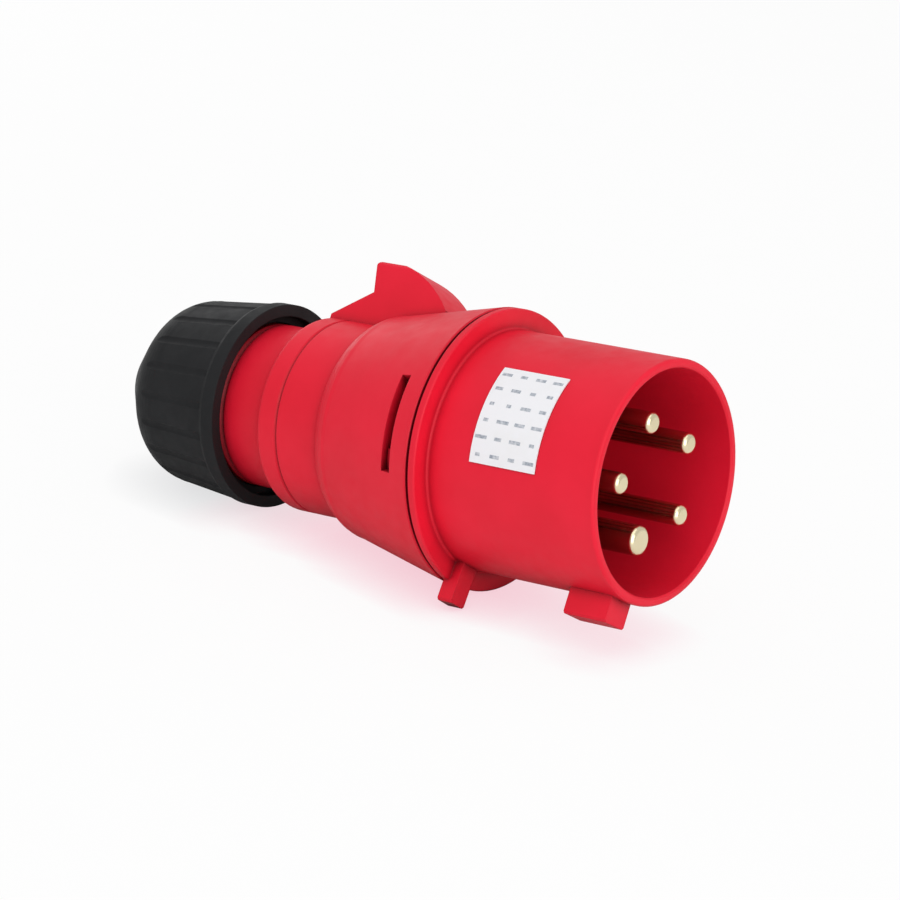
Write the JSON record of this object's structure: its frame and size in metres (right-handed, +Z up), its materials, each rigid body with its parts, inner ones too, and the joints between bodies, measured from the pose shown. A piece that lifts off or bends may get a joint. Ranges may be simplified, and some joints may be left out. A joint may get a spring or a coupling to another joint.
{
  "type": "industrial pin and sleeve plug",
  "caption": "Red moulded pin and sleeve plug with brass pins inside a round shroud, a nose and a flange on its housing and a black cable gland nut.",
  "frame": {"origin": "centre of the sleeve's mouth, on the plug's own axis", "axes": "+Z up with the plug lying as it rests; the plug's axis lies in the XZ plane with its mouth towards +X and raised about seven degrees"},
  "size_m": [0.1537, 0.066, 0.0666],
  "materials": {
    "red_moulding": "moulded polyamide, satin gloss",
    "black_moulding": "moulded polyamide, fine grain",
    "carrier_moulding": "moulded insulator",
    "cage_moulding": "plain moulding",
    "contact_brass": "turned brass, lightly plated",
    "plated_steel": "zinc plated",
    "seal_rubber": "moulded rubber",
    "label": "white film"
  },
  "bodies": {
    "plug": {"plug_sleeve": "red_moulding", "rating_label": "label", "contact_carrier": "carrier_moulding", "carrier_screws": "plated_steel", "earth_contact": "contact_brass", "neutral_contact": "contact_brass", "phase_contact_3": "contact_brass", "phase_contact_2": "contact_brass", "phase_contact_1": "contact_brass", "earth_terminal_screw": "plated_steel", "neutral_terminal_screw": "plated_steel", "phase_terminal_screw_3": "plated_steel", "phase_terminal_screw_2": "plated_steel", "phase_terminal_screw_1": "plated_steel", "housing_seal": "seal_rubber", "rear_housing": "red_moulding", "grip_cage": "cage_moulding", "cable_seal": "seal_rubber"},
    "ring": {"slip_ring": "cage_moulding"},
    "nut": {"gland_nut": "black_moulding"}
  },
  "joints": [
    {"name": "nut_travel", "type": "slide", "parent": "plug", "child": "ring", "axis": [-0.9926, 0, -0.1215], "range_m": [0, 0.0051]},
    {"name": "nut_turn", "type": "hinge", "parent": "ring", "child": "nut", "pos_m": [-0.12904, 0, -0.0158], "axis": [-0.9926, 0, -0.1215], "range_deg": [0, 720]}
  ],
  "couplings": [
    {"joint": "nut_travel", "follows": "nut_turn", "m_per_rad": 0.00039789}
  ]
}
